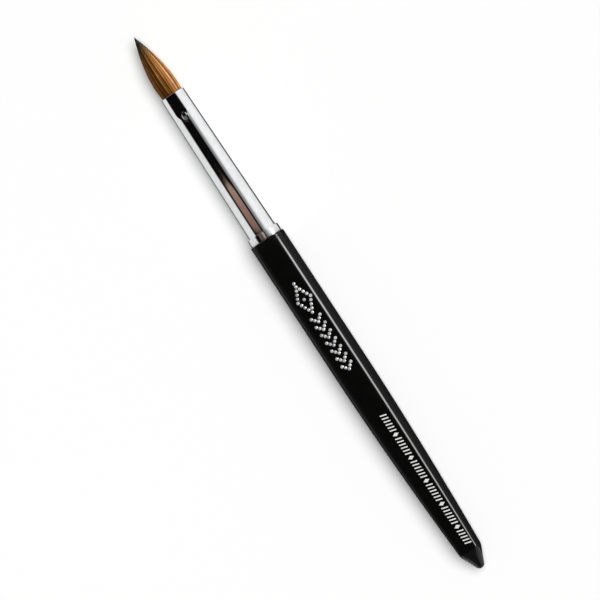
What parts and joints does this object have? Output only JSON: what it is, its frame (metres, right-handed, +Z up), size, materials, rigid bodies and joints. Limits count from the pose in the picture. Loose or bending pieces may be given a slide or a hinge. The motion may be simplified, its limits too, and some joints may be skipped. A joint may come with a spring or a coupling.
{
  "type": "acrylic nail brush",
  "caption": "Acrylic nail brush: pointed round hair tuft in a bright tapered ferrule with a collar, on a black lacquered square handle with a crystal pattern.",
  "frame": {"origin": "on the surface the brush lies on, under the middle of its length; the brush lies on one flat of its handle", "axes": "+X along the brush from the hair tip to the handle tip, +Z up through the crystal side, +Y to the side of the handle that follows by the right hand"},
  "size_m": [0.17, 0.0094, 0.0099],
  "materials": {
    "black_lacquer": "gloss",
    "bright_plating": "polished",
    "kolinsky_hair": "satin",
    "waxed_thread": "matte",
    "amber_resin": "gloss",
    "foiled_crystal": "polished"
  },
  "bodies": {
    "brush": {"handle": "black_lacquer", "ferrule": "bright_plating", "ferrule_collar": "bright_plating", "tenon_glue": "amber_resin", "hair_cement": "amber_resin", "binding_thread": "waxed_thread", "crystal_01": "foiled_crystal", "crystal_02": "foiled_crystal", "crystal_03": "foiled_crystal", "crystal_04": "foiled_crystal", "crystal_05": "foiled_crystal", "crystal_06": "foiled_crystal", "crystal_07": "foiled_crystal", "crystal_08": "foiled_crystal", "crystal_09": "foiled_crystal", "crystal_10": "foiled_crystal", "crystal_11": "foiled_crystal", "crystal_12": "foiled_crystal", "crystal_13": "foiled_crystal", "crystal_14": "foiled_crystal", "crystal_15": "foiled_crystal", "crystal_16": "foiled_crystal", "crystal_17": "foiled_crystal", "crystal_18": "foiled_crystal", "crystal_19": "foiled_crystal", "crystal_20": "foiled_crystal", "crystal_21": "foiled_crystal", "crystal_22": "foiled_crystal", "crystal_23": "foiled_crystal", "crystal_24": "foiled_crystal", "crystal_25": "foiled_crystal", "crystal_26": "foiled_crystal", "crystal_27": "foiled_crystal", "crystal_28": "foiled_crystal", "crystal_29": "foiled_crystal", "crystal_30": "foiled_crystal", "crystal_31": "foiled_crystal", "crystal_32": "foiled_crystal", "crystal_33": "foiled_crystal", "crystal_34": "foiled_crystal", "crystal_35": "foiled_crystal", "crystal_36": "foiled_crystal", "crystal_37": "foiled_crystal", "crystal_38": "foiled_crystal", "crystal_39": "foiled_crystal", "crystal_40": "foiled_crystal", "crystal_41": "foiled_crystal", "crystal_42": "foiled_crystal", "crystal_43": "foiled_crystal", "crystal_44": "foiled_crystal", "crystal_45": "foiled_crystal", "crystal_46": "foiled_crystal", "crystal_47": "foiled_crystal", "crystal_48": "foiled_crystal", "crystal_49": "foiled_crystal", "crystal_50": "foiled_crystal", "crystal_51": "foiled_crystal", "crystal_52": "foiled_crystal", "crystal_53": "foiled_crystal"},
    "hair": {"hair_tuft": "kolinsky_hair"}
  },
  "joints": [
    {"name": "hair_flex", "type": "hinge", "parent": "brush", "child": "hair", "pos_m": [-0.06645, 0, 0.00473], "axis": [0, 0, 1], "range_deg": [-30, 30], "stiffness_Nm_per_rad": 0.004, "deforming": ["hair_tuft"]}
  ]
}
